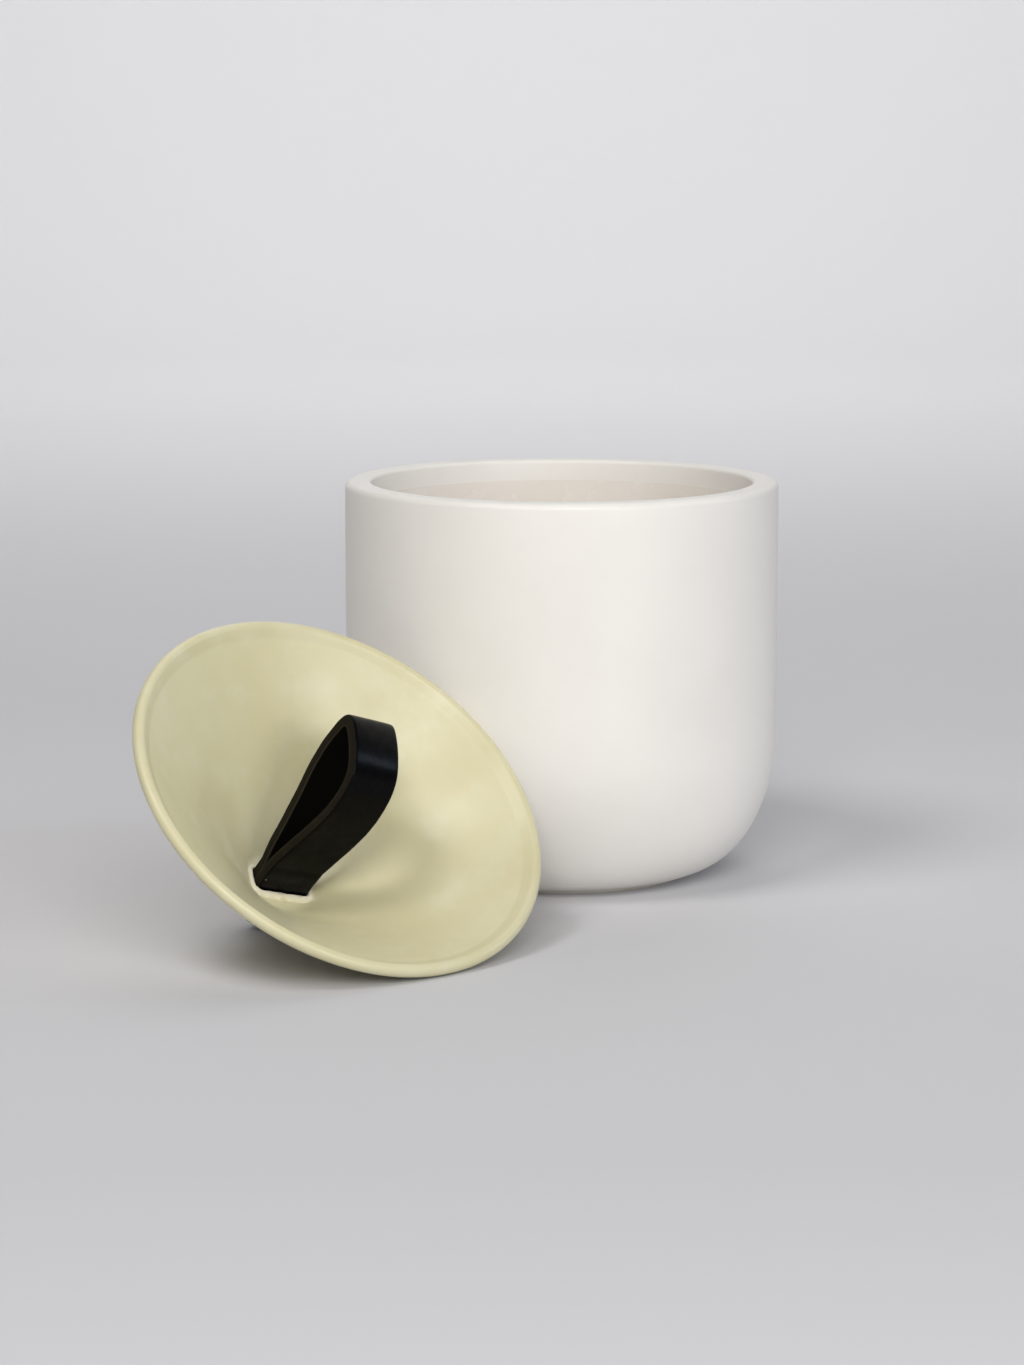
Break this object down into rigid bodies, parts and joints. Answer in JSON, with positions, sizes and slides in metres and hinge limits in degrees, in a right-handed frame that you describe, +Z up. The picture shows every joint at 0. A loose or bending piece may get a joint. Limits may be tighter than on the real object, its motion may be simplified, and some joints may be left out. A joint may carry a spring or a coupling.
{
  "type": "lidded canister",
  "caption": "Straight-sided porcelain canister with a rounded base; its dished cone lid, with a leather strap loop, leans beside it and can be carried over onto the jar's mouth.",
  "frame": {"origin": "centre of the jar's flat foot, on the surface that it stands on", "axes": "+Z up along the jar's axis; -Y towards the viewer, the lid leaning at -X, -Y"},
  "size_m": [0.1964, 0.246, 0.1274],
  "materials": {
    "jar": "satin off-white porcelain, glossier inside",
    "lid": "pale celery glaze, soft gloss",
    "strap": "black satin leather with olive-brown cut edges",
    "screw": "nickel-plated"
  },
  "bodies": {
    "jar": {"jar": "jar"},
    "strap_screw": {"screw_post": "screw", "binding_screw": "screw"},
    "lid": {"lid": "lid", "strap_tails": "strap"},
    "strap_loop": {"strap_loop": "strap"}
  },
  "joints": [
    {"name": "lid_carry", "type": "hinge", "parent": "jar", "child": "strap_screw", "pos_m": [-0.0591, -0.06054, 0.0816], "axis": [-0.7156, 0.6985, 0], "range_deg": [0, 238.5]},
    {"name": "lid_level", "type": "hinge", "parent": "strap_screw", "child": "lid", "pos_m": [-0.08997, -0.09216, 0.00946], "axis": [-0.1981, 0.7419, 0.6406], "range_deg": [-245.2, 0]},
    {"name": "loop_flop", "type": "hinge", "parent": "lid", "child": "strap_loop", "pos_m": [-0.08322, -0.09969, 0.02027], "axis": [0.8675, 0.437, -0.2378], "range_deg": [-10, 30], "stiffness_Nm_per_rad": 0.1}
  ],
  "couplings": [
    {"joint": "lid_level", "follows": "lid_carry", "ratio": -1.0279}
  ]
}
